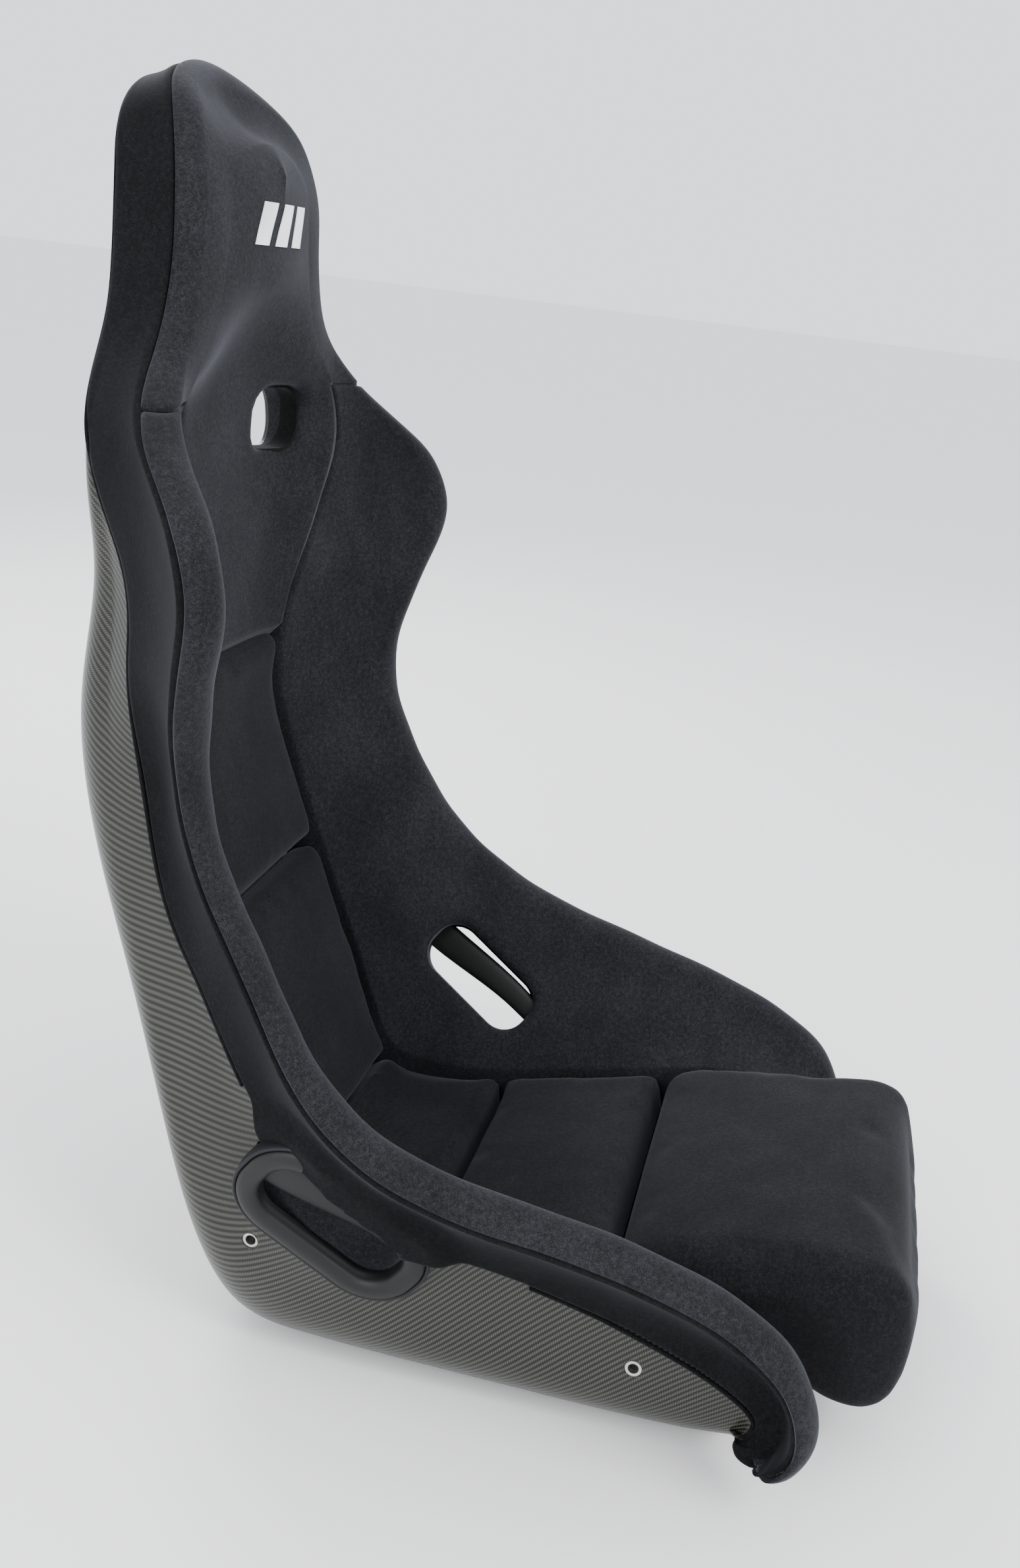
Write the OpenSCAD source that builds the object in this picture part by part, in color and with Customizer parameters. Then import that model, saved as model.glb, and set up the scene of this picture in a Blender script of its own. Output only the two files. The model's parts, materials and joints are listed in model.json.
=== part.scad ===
// Fixed-back racing bucket seat.
// X is across the seat, the occupant faces -Y, Z is up, and the seat stands on z = 0.
// The form is drawn as four rails that run from the nose of a thigh wing, over the hip,
// up the back and round the head: base, wall, rim and foot. Every rail has one point per
// station, and a section of the seat joins the four points of one station.

/* [Mounting] */
// Distance between the outer faces of the two side mounts
mount_width = 402; // [398:1:408]
// Height of the rear mounting hole
rear_hole_z = 103; // [100:1:108]
// Height of the front mounting hole
front_hole_z = 74; // [72:1:78]
// Distance from the rear hole to the front hole along the seat
hole_run = 289; // [284:1:294]
// Thread diameter of a mounting insert
thread_d = 8; // [6:1:8]
// Outer diameter of a mounting insert
insert_d = 12; // [11:0.5:14]
// Length of a mounting insert
insert_l = 14; // [12:1:16]

/* [Shell and covers] */
// Thickness of the laminated shell
shell_t = 4; // [3:0.5:5]
// Radius of the padded roll along the rim
roll_r = 19; // [17:1:21]
// Thickness of the outer fabric band
band_t = 5; // [4:0.5:6]
// Width of the sewn gap between two cushions
seam_gap = 3; // [2:0.5:5]
// Thickness of a back cushion
back_pad_t = 30; // [22:1:34]
// Thickness of a seat cushion
seat_pad_t = 42; // [30:1:48]

/* [Belt openings] */
// Width of a shoulder belt opening
shoulder_slot_w = 62; // [56:1:66]
// Height of a shoulder belt opening
shoulder_slot_h = 50; // [46:1:56]
// Distance from the centre line to the middle of a shoulder belt opening
shoulder_slot_x = 108; // [104:1:110]
// Length of a lap belt opening
lap_slot_l = 114; // [104:1:118]
// Height of a lap belt opening
lap_slot_h = 54; // [50:1:56]
// Width of the moulded frame round a lap belt opening
lap_frame_w = 17; // [15:1:19]
// Width of the crotch belt opening
crotch_slot_w = 110; // [80:1:120]

/* [Hidden] */
clear = 0.6;            // air between neighbouring pieces
half = mount_width / 2; // mounting face
TOP = 24;               // last station, on the centre line of the head
NECK = 17.4;            // station where the bolster ends and the head panel takes the rim
PANEL = 13.62;          // station of the lower seam of the head panel
LUMBAR = 11.25;         // station of the seam between the back cushions

// Base rail: outside of the shell on the centre line [y, z]
BASE = [[-430, 42], [-424, 33], [-410, 22], [-380, 10], [-330, 3], [-245, 0], [-160, 0],
  [-80, 0], [-4, 0], [46, 26], [86, 90], [114, 180], [143, 285], [169, 385], [181, 468],
  [168, 555], [171, 625], [179, 680], [185, 722], [189, 750], [192, 776], [194, 800],
  [196, 820], [197, 836], [197, 848]];
// Wall rail: where the rounded lower edge becomes the side wall [x, y, z]
WALL = [[210, -383, 45], [206, -380, 51], [half, -376, 56], [half, -354, 60],
  [half, -314, 62], [half, -240, 62], [half, -164, 63], [half, -90, 66], [half, -18, 76],
  [half, 18, 100], [half - 2, 48, 146], [half - 4, 75, 218], [half - 6, 101, 312],
  [half - 8, 126, 402], [188, 139, 486], [186, 138, 568], [196, 149, 630],
  [184, 158, 676], [154, 164, 712], [132, 166, 748], [124, 168, 790], [121, 170, 834],
  [108, 178, 870], [66, 186, 896], [0, 190, 904]];
// Rim rail: crest of the padded rim [x, y, z]
RIM = [[231, -408, 48], [235, -421, 80], [236, -406, 124], [236, -380, 152],
  [236, -328, 180], [243, -240, 204], [252, -160, 219], [252, -96, 241], [240, -48, 274],
  [226, -18, 308], [217, 8, 347], [215, 34, 392], [215, 48, 432], [224, 49, 478],
  [250, 38, 528], [268, 25, 584], [252, 46, 636], [208, 88, 676], [158, 108, 712],
  [122, 114, 748], [110, 116, 790], [107, 119, 834], [93, 130, 872], [58, 148, 893],
  [0, 158, 898]];
// Foot rail: inner foot of the bolster, beside the cushions [x, y, z]
FOOT = [[208, -386, 46], [190, -397, 74], [177, -386, 106], [171, -366, 124],
  [168, -320, 134], [165, -240, 116], [162, -162, 98], [156, -88, 82], [146, -16, 84],
  [135, 8, 122], [133, 36, 194], [131, 72, 274], [127, 104, 360], [122, 128, 440],
  [130, 124, 506], [153, 112, 580], [174, 107, 636], [166, 108, 676], [128, 110, 711],
  [98, 112, 745], [84, 113, 786], [78, 114, 822], [64, 116, 847], [36, 119, 862],
  [0, 120, 868]];
// Lower edge of the outer band, as a place on the shell face (see shell_face)
EDGE = [0.9, 0.95, 1.05, 1.15, 1.25, 1.36, 1.42, 1.44, 1.5, 1.55, 1.56, 1.52, 1.33, 1.3, 1.25,
  1.2, 1.08, 0.95, 0.9, 0.9, 0.9, 0.9, 0.9, 0.9, 0.9];

// ---- curves ----
function blend4(a, b, c, d, t) = b + (c - a) * t / 2 + (2 * a - 5 * b + 4 * c - d) * t * t / 2
  + (3 * b - a - 3 * c + d) * t * t * t / 2;
// Point of a rail at station s.
function rail(list, s) = let (n = len(list) - 1, i = min(floor(s), n - 1))
  blend4(list[max(i - 1, 0)], list[i], list[i + 1], list[min(i + 2, n)], s - i);
function unit(v) = v / norm(v);
function lerp(a, b, t) = a + (b - a) * t;
function bezier(a, b, c, t) = lerp(lerp(a, b, t), lerp(b, c, t), t);
function ramp(a, b, x) = let (t = max(0, min(1, (x - a) / (b - a)))) t * t * (3 - 2 * t);
function flip(p, side) = [p[0] * side, p[1], p[2]];
function steps(a, b, n) = [for (i = [0 : n]) lerp(a, b, i / n)];
// A list of places from the far side, through the centre, to the near side.
function across(list) = concat([for (i = [len(list) - 1 : -1 : 1]) -list[i]], list);

// ---- one station ----
flat_part = 0.5;      // share of the half width where the base is flat
wall_straight = 0.36; // share of the wall that stands straight before it flares
dish = 40;            // depth of the hollow between the shoulders
pocket = 14;          // hollow in the back of the shell round a shoulder belt opening
pocket_s = 16.64;     // station of that hollow
head_y = 113;         // front of the head panel at the top
head_crown = 7;       // swelling of the head panel in the middle
boss = 20;            // swelling of the shell round a lap belt opening
boss_s = 7.2;         // station of that swelling
boss_v = 1.42;        // its place on the side wall
function base_pt(s) = let (b = rail(BASE, s)) [0, b[0], max(0, b[1])];
// Direction of the side wall, from the base towards the rim.
function up_dir(s) = let (w = rail(WALL, s), r = rail(RIM, s)) unit([0, r[1] - w[1], r[2] - w[2]]);
// Sideways direction: straight out, and radial round the top of the head.
function out_dir(s) = let (r = rail(RIM, s), b = base_pt(s), k = ramp(18, 20, s))
  unit([lerp(1, r[0], k), 0, lerp(0, r[2] - b[2], k)]);
// Radius of the roll, rounded off at the nose.
function roll(s) = roll_r * (s > 0.6 ? 1 : 0.72 + 0.28 * sqrt(1 - pow(1 - s / 0.6, 2)));
function roll_mid(s) = rail(RIM, s) - roll(s) * up_dir(s);
function shell_top(s) = roll_mid(s) + out_dir(s) * (roll(s) - band_t - clear);
function shell_corner(s) = let (b = base_pt(s), w = rail(WALL, s))
  lerp(w - up_dir(s) * norm([w[1] - b[1], w[2] - b[2]]), [w[0], b[1], w[2]], ramp(17, 19, s));

// Outer face of the shell: v = 0 on the centre line, 1 at the wall rail, 2 at the rim.
function shell_face(s, v) = let (p = shell_form(s, v),
    hollow = v > 1 ? 0 : pocket * (1 - v * v * v * v)
      * swell(s - pocket_s, 0.8) * swell(p[0] - shoulder_slot_x, 50),
    bulge = boss * swell(s - boss_s, 0.8) * swell(v - boss_v, 0.27))
  [p[0] + bulge, p[1] - hollow, max(0, p[2])];
function swell(x, width) = exp(-x * x / width / width);
function shell_form(s, v) = let (b = base_pt(s), w = rail(WALL, s), q = shell_top(s),
    corner = shell_corner(s), start = lerp(b, corner, flat_part),
    up = up_dir(s) * norm(q - w), lean = lerp(up, q - w, 0.8 * ramp(12.5, 14.5, s)),
    p = w + wall_straight * lean)
  v <= 0.5 ? lerp(b, start, v / 0.5)
  : v <= 1 ? bezier(start, corner, w, (v - 0.5) / 0.5)
  : v <= 1.3 ? lerp(w, p, (v - 1) / 0.3)
  : bezier(p, lerp(p, w + lean, 0.5), q, (v - 1.3) / 0.7);
// Place v on the flat and rounded part of the shell face that is x from the centre line.
function place_at(s, x) = let (w = rail(WALL, s)[0], a = flat_part * w)
  x <= a ? 0.5 * x / max(a, 1) : 1 - 0.5 * sqrt(max(0, (w - x) / (w - a)));
// Normal of the shell face inside the section, pointing out of the seat.
function shell_normal(s, v) = let (e = 0.02, d = up_dir(s), o = out_dir(s),
    t = shell_face(s, min(v + e, 2)) - shell_face(s, max(v - e, 0)), a = t * o, c = t * d)
  unit(o * c - d * a);
function shell_offset(s, v, by) = shell_face(s, v) + shell_normal(s, v) * by;

// Padded side of the section: u = 0 at the outer seam, then over the roll and down the
// inner wall to the foot rail at u = 1, and across to the centre line at u = 2.
function pad_face(s, u) = let (r = roll(s), d = up_dir(s), o = out_dir(s), q = roll_mid(s),
    f = rail(FOOT, s), turn = lerp(150, 78, ramp(16, 19, s)),
    last = q + r * (o * cos(turn) + d * sin(turn)),
    leave = o * cos(turn + 90) + d * sin(turn + 90), reach = norm(last - f),
    centre = [0, lerp(f[1], head_y, ramp(20, 22, s)), lerp(f[2], base_pt(s)[2], ramp(18, 20, s))],
    c = 2 - u, hollow = lerp(1 - pow(c, 4), pow(1 - c * c, 2), ramp(16.5, 18.5, s)),
    dip = dish * ramp(12.6, 16, s) * ramp(20, 17, s) * hollow
      - head_crown * ramp(18.5, 20.5, s) * (1 - c * c))
  u <= 0.4 ? q + r * (o * cos(turn * u / 0.4) + d * sin(turn * u / 0.4))
  : u <= 1 ? bezier(last, last + leave * reach * 0.5, f, (u - 0.4) / 0.6)
  : lerp(f, centre, u - 1) + [0, dip, 0];
// Hidden side of a pad, just inside the shell, at the matching place.
function pad_back(s, u) = let (x = rail(FOOT, s)[0],
    v = u <= 1 ? lerp(1.94, place_at(s, x), u) : place_at(s, x * (2 - u)))
  shell_offset(s, lerp(v, 0.97 * (2 - u), ramp(18, 21, s)), -shell_t - clear);
// Direction out of a cushion, towards the occupant.
function pad_normal(s) = let (t = rail(FOOT, s + 0.05) - rail(FOOT, s - 0.05))
  unit([0, -t[2], t[1]]);

// ---- solids from grids of points ----
// A closed solid between two grids of the same size. With fold, the last row runs from one
// side to the other through the centre plane, so its two halves share their points.
module slab(front, back, fold = false) {
  rows = len(front);
  cols = len(front[0]);
  last = rows - 1;
  function at(i, j, k) = (k * rows + i) * cols + (fold && i == last && 2 * j > cols - 1
    ? cols - 1 - j : j);
  function quad(a, b, c, d) = [[a, b, c], [a, c, d]];
  faces = concat(
    [for (i = [0 : last - 1], j = [0 : cols - 2])
      each quad(at(i, j, 0), at(i + 1, j, 0), at(i + 1, j + 1, 0), at(i, j + 1, 0))],
    [for (i = [0 : last - 1], j = [0 : cols - 2])
      each quad(at(i, j, 1), at(i, j + 1, 1), at(i + 1, j + 1, 1), at(i + 1, j, 1))],
    [for (i = [0 : last - 1])
      each quad(at(i, 0, 0), at(i, 0, 1), at(i + 1, 0, 1), at(i + 1, 0, 0))],
    [for (i = [0 : last - 1]) each quad(at(i, cols - 1, 0), at(i + 1, cols - 1, 0),
      at(i + 1, cols - 1, 1), at(i, cols - 1, 1))],
    [for (j = [0 : cols - 2])
      each quad(at(0, j, 0), at(0, j + 1, 0), at(0, j + 1, 1), at(0, j, 1))],
    [for (j = fold ? [] : [0 : cols - 2])
      each quad(at(last, j, 0), at(last, j, 1), at(last, j + 1, 1), at(last, j + 1, 0))]);
  polyhedron(concat([for (row = front) each row], [for (row = back) each row]), faces);
}
module on_side(side) {
  if (side > 0) children();
  else mirror([1, 0, 0]) children();
}
module rounded_slot(l, h, r) {
  offset_l = l / 2 - r;
  offset_h = h / 2 - r;
  union() {
    square([l, 2 * offset_h], center = true);
    square([2 * offset_l, h], center = true);
    for (x = [-offset_l, offset_l], y = [-offset_h, offset_h])
      translate([x, y]) circle(r, $fn = 48);
  }
}

// ---- belt openings ----
lap_mid = [half + 23, -66, 147]; // middle of the lap belt opening on the side wall
lap_slope = 34;            // fall of the opening towards the front
lap_lean = 14;             // lean of the side wall at the opening
gasket_w = 3;
frame_depth = 9;
// Local z points out of the seat, local x runs forward and down along the opening.
module at_lap() {
  translate(lap_mid) rotate([0, lap_lean, 0]) rotate([0, 90, 0])
    rotate([0, 0, lap_slope - 90]) children();
}
module lap_outline(grow) { rounded_slot(lap_slot_l + 2 * grow, lap_slot_h + 2 * grow, 23 + grow); }
module lap_cut(grow, from, to) {
  at_lap() translate([0, 0, from]) linear_extrude(to - from) lap_outline(grow);
}
// The bar across an opening, larger by grow all round.
bridge_w = 26;
bridge_t = 9;
bridge_drop = 6; // how far the bar lies below the middle
module bridge_bar(grow) {
  at_lap() translate([0, -bridge_drop, -frame_depth - bridge_t - 0.2 - grow])
    linear_extrude(bridge_t + 2 * grow)
      rounded_slot(lap_slot_l + 24 + 2 * grow, bridge_w + 2 * grow, 12 + grow);
}
// The way through the bolster, which rises inwards.
tunnel_rise = 0.25; // rise of that way for each unit inwards
module lap_tunnel() {
  at_lap() multmatrix([[1, 0, 0, 0], [0, 1, tunnel_rise, 0], [0, 0, 1, 0]])
    translate([0, 0, -90]) linear_extrude(90) lap_outline(0);
}
// From and to are measured rearwards from the middle of the opening in the front panel.
shoulder_z = 660;
shoulder_y = 142;
shoulder_turn = 22; // the openings run outwards to the rear
sleeve_t = 3;
module shoulder_cut(side, grow, from, to) {
  translate([side * shoulder_slot_x, shoulder_y, shoulder_z])
    rotate([0, 0, -side * shoulder_turn]) rotate([-90, 0, 0])
      translate([0, 0, from]) linear_extrude(to - from)
        rounded_slot(shoulder_slot_w + 2 * grow, shoulder_slot_h + 2 * grow, 20 + grow);
}
crotch_y = -254;
crotch_slot_d = 30;
module crotch_cut(grow, from, to) {
  translate([0, crotch_y, from]) linear_extrude(to - from)
    rounded_slot(crotch_slot_w + 2 * grow, crotch_slot_d + 2 * grow, 12 + grow);
}

// ---- mounting ----
plate_t = 3;
plate_d = 40;
plate_gap = 1;
hole_places = [[0, rear_hole_z], [-hole_run, front_hole_z]];
// Round solids in line with the holes; from and to are measured inwards from the mount face.
module hole_rods(d, from, to, sides = [-1, 1]) {
  for (side = sides, place = hole_places)
    translate([side * half, place[0], place[1]]) rotate([0, side * -90, 0])
      translate([0, 0, from]) cylinder(h = to - from, d = d, $fn = 48);
}
module mount_inserts() {
  color("silver") difference() {
    hole_rods(insert_d, 0, insert_l);
    hole_rods(thread_d, -1, insert_l + 1);
  }
}
module mount_plates() {
  color("gray") difference() {
    hole_rods(plate_d, shell_t + plate_gap, shell_t + plate_gap + plate_t);
    hole_rods(insert_d + 0.4, -1, insert_l + 1);
  }
}

// ---- shell ----
SHELL_S = concat(steps(0, 4, 8), steps(4.5, 8, 7), steps(8.4, 17, 22), steps(17.5, TOP, 13));
SHELL_V = [0, 0.25, 0.5, 0.62, 0.74, 0.87, 1, 1.15, 1.3, 1.5, 1.7, 1.85, 1.97];
module shell() {
  grid_v = across(SHELL_V);
  color("dimgray") difference() {
    slab([for (s = SHELL_S) [for (v = grid_v) flip(shell_face(s, abs(v)), sign(v))]],
      [for (s = SHELL_S) [for (v = grid_v) flip(shell_offset(s, abs(v), -shell_t), sign(v))]],
      fold = true);
    for (side = [-1, 1]) on_side(side) lap_cut(lap_frame_w + gasket_w + clear, -40, 40);
    for (side = [-1, 1]) shoulder_cut(side, sleeve_t + clear, 0, 90);
    crotch_cut(sleeve_t + clear, -10, 40);
    hole_rods(insert_d + 0.2, -5, insert_l + 5);
  }
}

// ---- upholstery ----
PAD_S = concat(steps(0, 2, 6), steps(2.5, 8, 11), steps(8.4, NECK, 22));
module bolster() {
  grid_s = [for (s = PAD_S) min(s, NECK - 0.04)];
  grid_u = steps(0, 1, 9);
  color("#26262a") difference() {
    slab([for (s = grid_s) [for (u = grid_u) pad_face(s, u)]],
      [for (s = grid_s) [for (u = grid_u) pad_back(s, u)]]);
    lap_cut(lap_frame_w + gasket_w + clear, -frame_depth - clear, 60);
    lap_cut(2, -frame_depth - bridge_t - 2 * clear, 60);
    lap_tunnel();
    bridge_bar(clear);
    hole_rods(plate_d + 2, -5, shell_t + plate_gap + plate_t + clear, [1]);
    hole_rods(insert_d + 2, -5, insert_l + 4, [1]);
  }
}
BAND_S = concat(steps(0, 2, 5), steps(2.5, 8, 10), steps(8.5, 17, 17), steps(17.5, TOP - 0.02, 13));
module outer_band() {
  function place(s, k) = lerp(rail(EDGE, s), 2, k);
  color("#1e1e22") difference() {
    slab([for (s = BAND_S) [for (k = [0, 0.3, 0.65, 1])
        shell_offset(s, place(s, k), clear + band_t * (k == 0 ? 0.7 : 1))]],
      [for (s = BAND_S) [for (k = [0, 0.3, 0.65, 1]) shell_offset(s, place(s, k), clear)]]);
    lap_cut(lap_frame_w + gasket_w + clear, -40, 60);
  }
}
module welt_run(list) {
  sides = 6;
  r = 1.8;
  ring = [for (s = list) let (p = shell_offset(s, rail(EDGE, s) - 0.035, r + 0.2),
      n = shell_normal(s, rail(EDGE, s)),
      d = unit(shell_face(min(s + 0.1, TOP), rail(EDGE, s)) - shell_face(s - 0.1, rail(EDGE, s))))
    [for (a = [0 : sides - 1]) p + r * (n * cos(a * 360 / sides)
      + unit(cross(d, n)) * sin(a * 360 / sides))]];
  n = len(ring);
  polyhedron([for (row = ring) each row], concat(
    [for (i = [0 : n - 2], a = [0 : sides - 1]) let (b = (a + 1) % sides)
      each [[i * sides + a, i * sides + b, (i + 1) * sides + b],
        [i * sides + a, (i + 1) * sides + b, (i + 1) * sides + a]]],
    [[for (a = [sides - 1 : -1 : 0]) a], [for (a = [0 : sides - 1]) (n - 1) * sides + a]]));
}
module band_welt() {
  color("#141416") {
    welt_run(steps(0.6, 5.4, 12));
    welt_run(steps(9.5, TOP - 0.15, 34));
  }
}
// A stretch of the panel; c runs across it from -1 to 1, and reaches place edge at its sides.
module panel_part(grid_s, grid_c, edge, fold) {
  slab([for (s = grid_s) [for (c = grid_c) flip(pad_face(s, lerp(2, edge, abs(c))), sign(c))]],
    [for (s = grid_s) [for (c = grid_c) flip(pad_back(s, lerp(2, edge, abs(c))), sign(c))]],
    fold = fold);
}
module head_panel() {
  color("#2a2a2e") difference() {
    union() {
      panel_part(steps(PANEL + 0.02, NECK, 11), across(steps(0, 1, 5)), 1, false);
      panel_part(steps(NECK, TOP, 18), across(steps(0, 1, 10)), 0, true);
    }
    for (side = [-1, 1]) shoulder_cut(side, sleeve_t + clear, -60, 90);
  }
}

// ---- cushions ----
crown = 3;
strip_t = 2;
strip_w = 25;
side_gap = 1.5;
// Point of a cushion, c across it from -1 to 1, at a depth below its crowned face.
function cushion_pt(s, c, depth) =
  let (f = rail(FOOT, s), rise = depth > 0 ? 0 : crown * (1 - c * c))
  [c * (f[0] - side_gap), f[1], f[2]] + pad_normal(s) * (rise - depth);
module cushion(from, to, thick) {
  gap = seam_gap / 160;
  grid_s = steps(from + gap, to - gap, 7);
  grid_c = steps(-1, 1, 6);
  slab([for (s = grid_s) [for (c = grid_c) cushion_pt(s, c, 0)]],
    [for (s = grid_s) [for (c = grid_c) cushion_pt(s, c, thick)]]);
}
SEAM_A = 6.67; // stations of the two seams across the seat
SEAM_B = 4.82;
JOINT = 8.42;  // station where the seat meets the back
module back_cushion_upper() { color("#2c2c31") cushion(LUMBAR, PANEL, back_pad_t); }
module back_cushion_lower() { color("#28282d") cushion(JOINT, LUMBAR, back_pad_t); }
module seat_cushion_rear() { color("#2c2c31") cushion(SEAM_A, JOINT, seat_pad_t); }
module seat_cushion_front() { color("#28282d") cushion(SEAM_B, SEAM_A, seat_pad_t); }

THIGH_SIDE = [[-257, 70], [-257, 120], [-266, 132], [-330, 149], [-400, 159], [-444, 163],
  [-464, 159], [-475, 146], [-480, 112], [-479, 76], [-473, 55], [-457, 44], [-436, 43],
  [-410, 50], [-386, 66]];
thigh_w = 322;
module thigh_cushion() {
  color("#2c2c31") intersection() {
    rotate([90, 0, 90]) translate([0, 0, -thigh_w / 2]) linear_extrude(thigh_w)
      polygon(THIGH_SIDE);
    linear_extrude(200) translate([0, -340]) rounded_slot(thigh_w, 2 * 147, 44);
  }
}
module liner(list, thick) {
  grid_c = steps(-1, 1, 8);
  slab([for (s = list) [for (c = grid_c) cushion_pt(s, c, thick + strip_t + 2 * clear)]],
    [for (s = list) [for (c = grid_c) let (x = rail(FOOT, s)[0] - side_gap)
      flip(shell_offset(s, place_at(s, abs(c) * x), -shell_t - clear), sign(c))]]);
}
module seat_liner() {
  color("#3a3a3a") difference() {
    liner(steps(4.0, 8.1, 8), seat_pad_t);
    crotch_cut(sleeve_t + clear, -10, 120);
  }
}
module back_liner() { color("#3a3a3a") liner(steps(9, 13.2, 8), back_pad_t); }
module strips(from, to, thick) {
  for (side = [-1, 1]) {
    grid_c = steps(side * 0.55 - 0.09, side * 0.55 + 0.09, 2);
    grid_s = steps(from, to, 4);
    slab([for (s = grid_s) [for (c = grid_c) cushion_pt(s, c, thick + clear / 2)]],
      [for (s = grid_s) [for (c = grid_c) cushion_pt(s, c, thick + clear / 2 + strip_t)]]);
  }
}
module back_fastener_strips() {
  color("#101010") {
    strips(9.6, 10.9, back_pad_t);
    strips(11.6, 13, back_pad_t);
  }
}
module seat_fastener_strips() {
  color("#101010") {
    strips(5.3, 6.4, seat_pad_t);
    strips(6.9, 7.7, seat_pad_t);
  }
}

// ---- belt guides ----
module lap_frame() {
  color("#1a1a1a") at_lap() difference() {
    translate([0, 0, -frame_depth]) linear_extrude(frame_depth + 5) lap_outline(lap_frame_w);
    translate([0, 0, -50]) linear_extrude(100) lap_outline(0);
  }
}
module lap_gasket() {
  color("black") at_lap() difference() {
    translate([0, 0, -5]) linear_extrude(8) lap_outline(lap_frame_w + gasket_w);
    translate([0, 0, -50]) linear_extrude(100) lap_outline(lap_frame_w + 0.2);
  }
}
module lap_bridge() {
  color("#222222") bridge_bar(0);
}
module shoulder_sleeve(side) {
  color("#1a1a1a") difference() {
    shoulder_cut(side, sleeve_t, 3, 22);
    shoulder_cut(side, 0, -10, 90);
  }
}
module crotch_sleeve() {
  color("#1a1a1a") difference() {
    crotch_cut(sleeve_t, 0.5, 60);
    crotch_cut(0, -10, 120);
  }
}

// The origin is on the floor in the middle of the seat, from side to side and front to back.
mid_y = 141.5; // from the rear mounting holes forward to the middle
module placed() { translate([0, mid_y, 0]) children(); }

placed() shell();
placed() mount_inserts();
placed() mount_plates();
placed() lap_frame();  // lap_frame_left
placed() on_side(-1) lap_frame();  // lap_frame_right
placed() lap_gasket();  // lap_gasket_left
placed() on_side(-1) lap_gasket();  // lap_gasket_right
placed() lap_bridge();  // lap_bridge_left
placed() on_side(-1) lap_bridge();  // lap_bridge_right
placed() shoulder_sleeve(1);  // shoulder_sleeve_left
placed() shoulder_sleeve(-1);  // shoulder_sleeve_right
placed() crotch_sleeve();
placed() bolster();  // bolster_left
placed() on_side(-1) bolster();  // bolster_right
placed() outer_band();  // outer_band_left
placed() on_side(-1) outer_band();  // outer_band_right
placed() band_welt();  // band_welt_left
placed() on_side(-1) band_welt();  // band_welt_right
placed() head_panel();
placed() back_cushion_upper();
placed() back_cushion_lower();
placed() seat_cushion_rear();
placed() seat_cushion_front();
placed() thigh_cushion();
placed() seat_liner();
placed() back_liner();
placed() back_fastener_strips();
placed() seat_fastener_strips();
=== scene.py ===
"""Looks of the fixed-back racing seat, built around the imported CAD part.

The form follows the same rails as the CAD: base, wall, rim and foot, from the nose of a
thigh wing over the hip, up the back and round the head. Here they are sampled finely. Unlike
the CAD, the shell swells more widely round the belt guides and the outer bands run over the
upper side of the guide rings.

Lengths are in millimetres until to_scene. s is the station along the rails, v the place across
the shell and u the place across the padding.
"""
import json
import math

import bmesh
import bpy
import numpy as np
from mathutils import Matrix, Vector
from mathutils.bvhtree import BVHTree


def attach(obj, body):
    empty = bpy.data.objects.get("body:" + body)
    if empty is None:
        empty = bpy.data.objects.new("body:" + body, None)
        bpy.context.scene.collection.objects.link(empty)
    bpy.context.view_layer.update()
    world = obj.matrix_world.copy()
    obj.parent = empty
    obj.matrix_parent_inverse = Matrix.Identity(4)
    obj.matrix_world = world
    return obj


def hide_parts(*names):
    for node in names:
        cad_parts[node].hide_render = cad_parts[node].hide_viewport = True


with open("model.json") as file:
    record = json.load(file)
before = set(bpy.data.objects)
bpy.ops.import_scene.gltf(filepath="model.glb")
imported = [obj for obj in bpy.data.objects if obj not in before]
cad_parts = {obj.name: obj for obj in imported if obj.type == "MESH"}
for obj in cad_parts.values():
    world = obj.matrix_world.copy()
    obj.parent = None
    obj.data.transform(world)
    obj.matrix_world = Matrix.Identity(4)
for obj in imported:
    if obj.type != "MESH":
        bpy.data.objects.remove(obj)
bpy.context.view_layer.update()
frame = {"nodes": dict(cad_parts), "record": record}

# ---- the form, in millimetres ----
MID_Y = 141.5  # moves the rails' origin to the frame's
HALF = 201.0  # centre plane to the mounting face
# stations of the crown, the seams and the ends of the cushions
TOP = 24.0
NECK = 17.4
PANEL = 13.62
LUMBAR = 11.25
JOINT = 8.42
SEAM_A = 6.67
SEAM_B = 4.82
ROLL_R = 19.0
SHELL_T = 4.0
BAND_T = 5.0
CLEAR = 0.6  # gap between the shell and the padding on it
# slots are (length, height, corner radius)
SHOULDER = (108.0, 142.0, 660.0)
SHOULDER_TURN = 22.0
SHOULDER_SLOT = (62.0, 50.0, 20.0)
SHOULDER_CUT = 3.6  # room for the lining round the belt slots
LAP_MID = (HALF + 23.0, -66.0, 147.0)
LAP_SLOPE = 34.0
LAP_LEAN = 14.0
LAP_SLOT = (114.0, 54.0, 23.0)
LAP_FRAME_W = 17.0
LAP_SHEAR = 0.25  # slant of the way through the bolster
CROTCH_Y = -254.0
CROTCH_SLOT = (110.0, 30.0, 12.0)
HOLES = ((0.0, 103.0), (-289.0, 74.0))
HOLE_R = 6.2

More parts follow.
